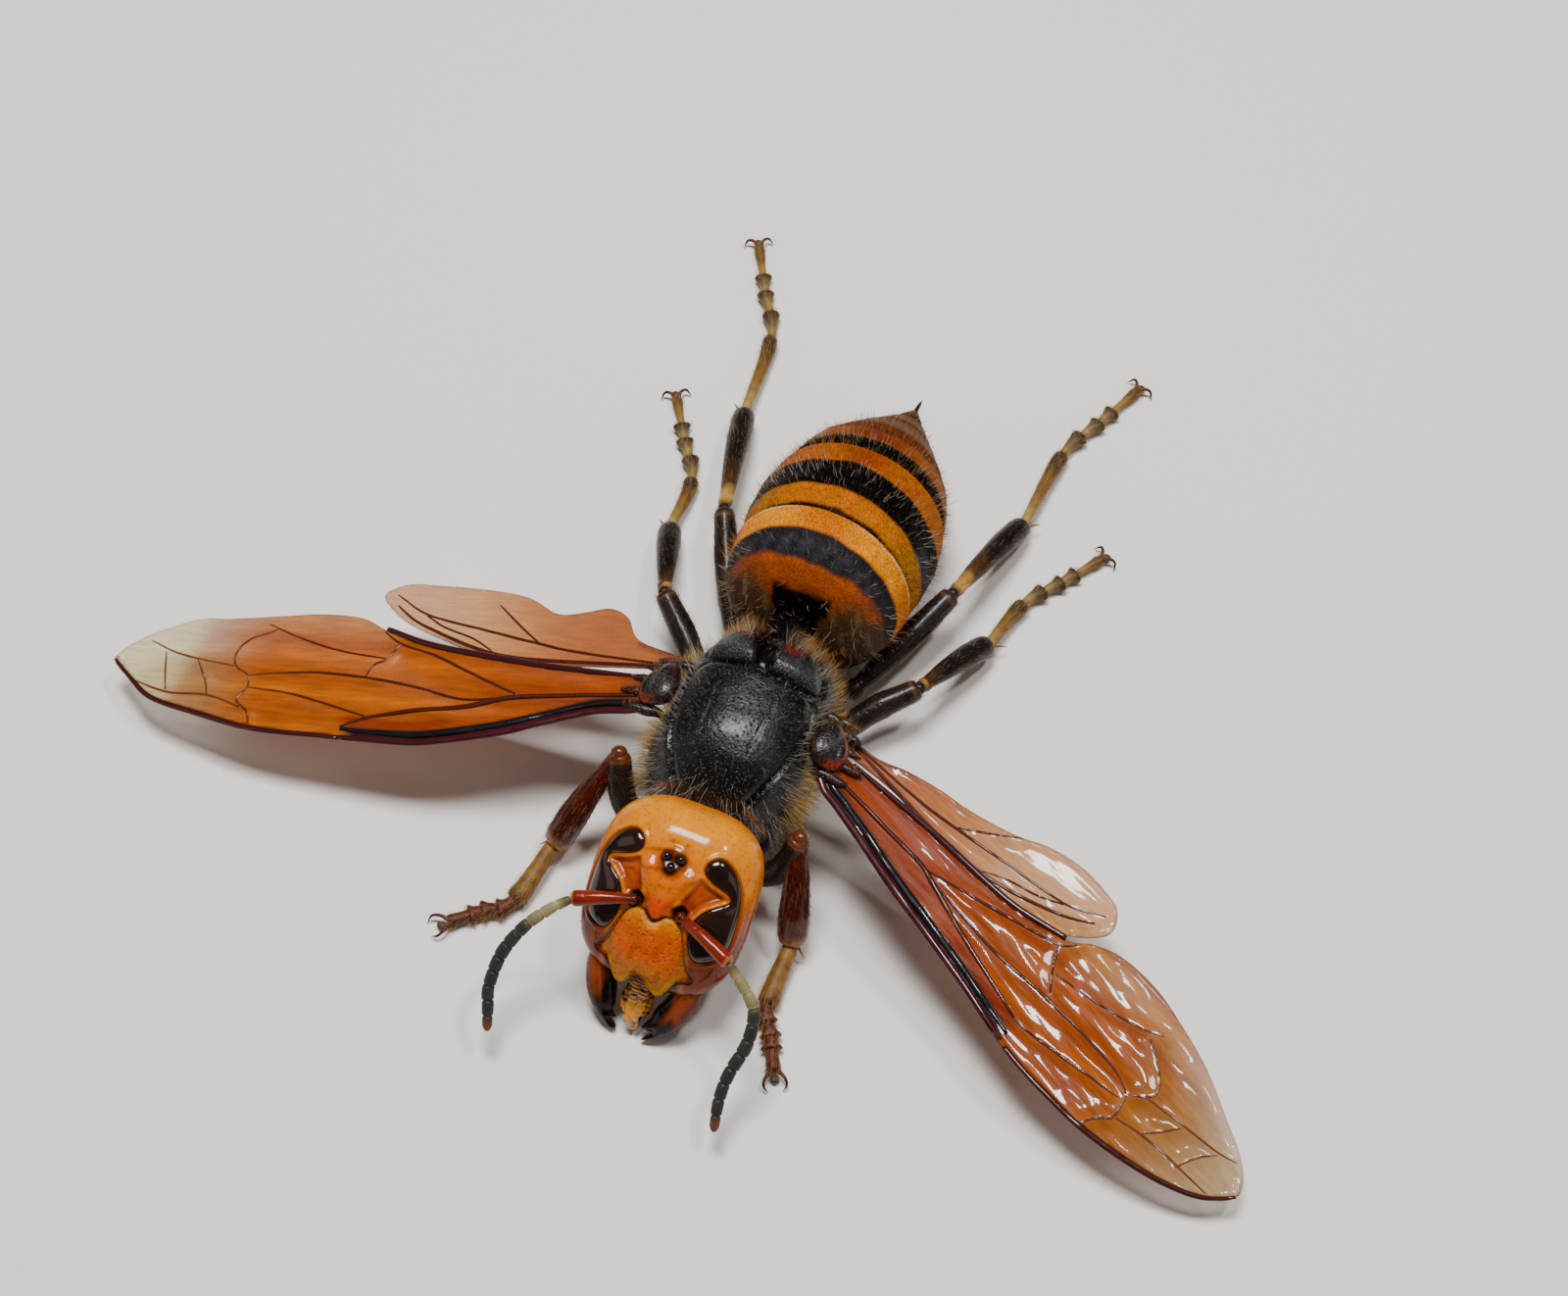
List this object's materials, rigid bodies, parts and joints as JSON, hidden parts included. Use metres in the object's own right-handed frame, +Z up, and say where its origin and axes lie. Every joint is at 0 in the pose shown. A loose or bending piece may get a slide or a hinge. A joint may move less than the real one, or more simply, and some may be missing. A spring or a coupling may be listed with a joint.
{
  "type": "asian giant hornet",
  "caption": "Giant hornet lying with wings and legs spread: amber head with large jaws, black thorax and orange-banded gaster; a life-size still figure that rests on a floor.",
  "frame": {"origin": "middle of the flat on which the gaster rests, under its third segment, at floor level", "axes": "+Z up; the head points to -Y and the sting to +Y; the hornet's left side is +X"},
  "size_m": [0.0852, 0.0703, 0.0141],
  "materials": {
    "amber_cuticle": "glossy amber-orange head shell",
    "clypeus_cuticle": "finely pitted deep orange shield",
    "eye_cuticle": "glossy brown-black compound eye",
    "mandible_cuticle": "glossy orange-brown with black teeth",
    "mouthparts": "wrinkled golden, slightly translucent",
    "scape_cuticle": "glossy red-brown",
    "flagellum_cuticle": "dull charcoal, tan at the base",
    "black_cuticle": "finely pitted black with pale hairs",
    "gaster_cuticle": "satin, banded orange and black, with fine hairs",
    "brown_cuticle": "glossy dark red-brown",
    "leg_cuticle": "black-brown with brown tips",
    "tarsus_cuticle": "golden to grey-brown, hairy",
    "wing_membrane": "translucent amber with dark veins"
  },
  "bodies": {
    "root": {"head": "amber_cuticle", "clypeus": "clypeus_cuticle", "mouthparts": "mouthparts", "eye_left": "eye_cuticle", "mandible_left": "mandible_cuticle", "scape_left": "scape_cuticle", "flagellum_left": "flagellum_cuticle", "forewing_left": "wing_membrane", "hindwing_left": "wing_membrane", "tegula_left": "brown_cuticle", "eye_right": "eye_cuticle", "mandible_right": "mandible_cuticle", "scape_right": "scape_cuticle", "flagellum_right": "flagellum_cuticle", "forewing_right": "wing_membrane", "hindwing_right": "wing_membrane", "tegula_right": "brown_cuticle", "mesoscutum": "black_cuticle", "scutellum": "black_cuticle", "propodeum": "black_cuticle", "pronotum": "black_cuticle", "mesopleura": "black_cuticle", "gaster_1": "gaster_cuticle", "gaster_2": "gaster_cuticle", "gaster_3": "gaster_cuticle", "gaster_4": "gaster_cuticle", "gaster_5": "gaster_cuticle", "gaster_6": "gaster_cuticle", "sting": "brown_cuticle", "coxa_front_left": "leg_cuticle", "femur_front_left": "leg_cuticle", "tibia_front_left": "brown_cuticle", "tarsus_front_left": "tarsus_cuticle", "coxa_front_right": "leg_cuticle", "femur_front_right": "leg_cuticle", "tibia_front_right": "brown_cuticle", "tarsus_front_right": "tarsus_cuticle", "coxa_middle_left": "leg_cuticle", "femur_middle_left": "leg_cuticle", "tibia_middle_left": "brown_cuticle", "tarsus_middle_left": "tarsus_cuticle", "coxa_middle_right": "leg_cuticle", "femur_middle_right": "leg_cuticle", "tibia_middle_right": "brown_cuticle", "tarsus_middle_right": "tarsus_cuticle", "coxa_hind_left": "leg_cuticle", "femur_hind_left": "leg_cuticle", "tibia_hind_left": "brown_cuticle", "tarsus_hind_left": "tarsus_cuticle", "coxa_hind_right": "leg_cuticle", "femur_hind_right": "leg_cuticle", "tibia_hind_right": "brown_cuticle", "tarsus_hind_right": "tarsus_cuticle"}
  },
  "joints": []
}
